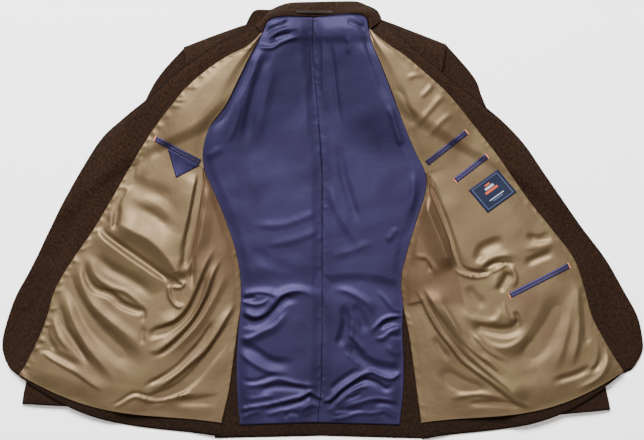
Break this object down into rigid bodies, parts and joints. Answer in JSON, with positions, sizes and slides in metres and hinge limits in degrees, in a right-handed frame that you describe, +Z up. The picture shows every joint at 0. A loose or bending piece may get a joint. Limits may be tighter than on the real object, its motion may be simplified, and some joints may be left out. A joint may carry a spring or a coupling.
{
  "type": "tweed blazer laid open",
  "caption": "Tailored tweed blazer laid flat and open with its satin lining up: fronts spread, lapels turned under, sleeves lying beneath.",
  "frame": {"origin": "on the surface that the blazer lies on, under the middle of its outline", "axes": "+X across to the wearer's left, +Y from the hem to the collar, +Z up from the surface"},
  "size_m": [1.101, 0.7536, 0.0377],
  "materials": {
    "tweed": "brown wool tweed, matt, with flecks",
    "champagne_satin": "champagne satin, glossy",
    "blue_satin": "blue-violet satin, glossy",
    "jet_satin": "blue satin, glossy",
    "label_weave": "navy woven label, satin",
    "loop_weave": "grey-brown woven tape, matt",
    "button_horn": "dark brown horn-like, satin"
  },
  "bodies": {
    "root": {"facing_r": "tweed", "facing_l": "tweed", "lapel_r": "tweed", "lapel_l": "tweed", "shoulder_r": "tweed", "shoulder_l": "tweed", "top_sleeve_r": "tweed", "top_sleeve_l": "tweed", "under_sleeve_r": "tweed", "under_sleeve_l": "tweed", "collar_stand": "tweed", "collar_fall": "tweed", "back_r": "tweed", "back_l": "tweed", "forepart_r": "tweed", "forepart_l": "tweed", "side_body_r": "tweed", "side_body_l": "tweed", "front_lining_r": "champagne_satin", "front_lining_l": "champagne_satin", "side_lining_r": "champagne_satin", "side_lining_l": "champagne_satin", "back_lining_r": "blue_satin", "back_lining_l": "blue_satin", "breast_jet_r_upper": "jet_satin", "breast_jet_r_lower": "jet_satin", "breast_jet_l_upper": "jet_satin", "breast_jet_l_lower": "jet_satin", "pen_jet_l_upper": "jet_satin", "pen_jet_l_lower": "jet_satin", "ticket_jet_l_upper": "jet_satin", "ticket_jet_l_lower": "jet_satin", "pocket_tab_r": "jet_satin", "label_l": "label_weave", "hanger_loop": "loop_weave", "front_button_1": "button_horn", "front_button_2": "button_horn"}
  },
  "joints": []
}
